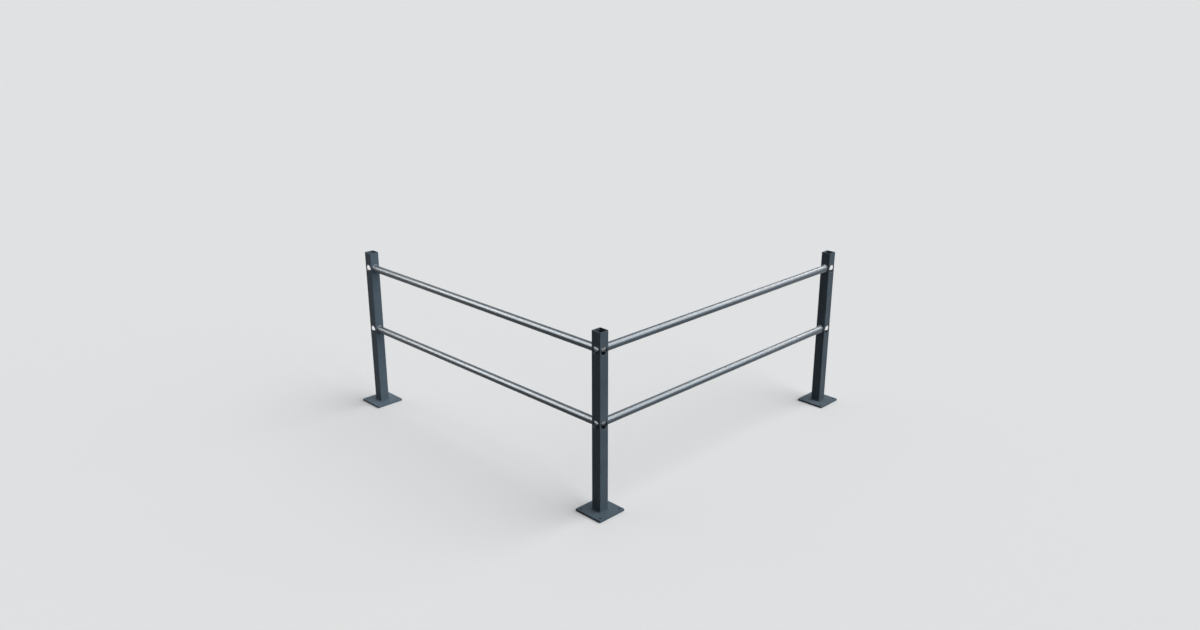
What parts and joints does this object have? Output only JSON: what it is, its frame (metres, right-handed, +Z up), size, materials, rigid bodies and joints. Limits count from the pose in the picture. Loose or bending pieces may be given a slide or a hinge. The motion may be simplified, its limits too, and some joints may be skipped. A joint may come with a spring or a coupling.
{
  "type": "corner pedestrian barrier",
  "caption": "L-shaped steel pedestrian barrier: square hollow posts on bolt-down base plates, joined by round top and lower rails, with open rail sockets for adding bays.",
  "frame": {"origin": "on the ground, at the middle of the square that the two bays span", "axes": "+Z up; the right bay runs along +X and the left bay along +Y from the corner post, which stands at -X, -Y"},
  "size_m": [2.18, 2.18, 1],
  "materials": {
    "post_paint": "semi-gloss slate powder coat",
    "plate_paint": "semi-gloss slate powder coat",
    "rail_paint": "semi-gloss slate powder coat",
    "weld_paint": "semi-gloss slate powder coat over a weld bead"
  },
  "bodies": {
    "root": {"corner_post": "post_paint", "left_post": "post_paint", "right_post": "post_paint", "corner_base_plate": "plate_paint", "left_base_plate": "plate_paint", "right_base_plate": "plate_paint", "corner_foot_weld": "weld_paint", "left_foot_weld": "weld_paint", "right_foot_weld": "weld_paint", "left_top_rail": "rail_paint", "left_lower_rail": "rail_paint", "right_top_rail": "rail_paint", "right_lower_rail": "rail_paint", "left_top_corner_weld": "weld_paint", "left_top_end_weld": "weld_paint", "left_lower_corner_weld": "weld_paint", "left_lower_end_weld": "weld_paint", "right_top_corner_weld": "weld_paint", "right_top_end_weld": "weld_paint", "right_lower_corner_weld": "weld_paint", "right_lower_end_weld": "weld_paint"}
  },
  "joints": []
}
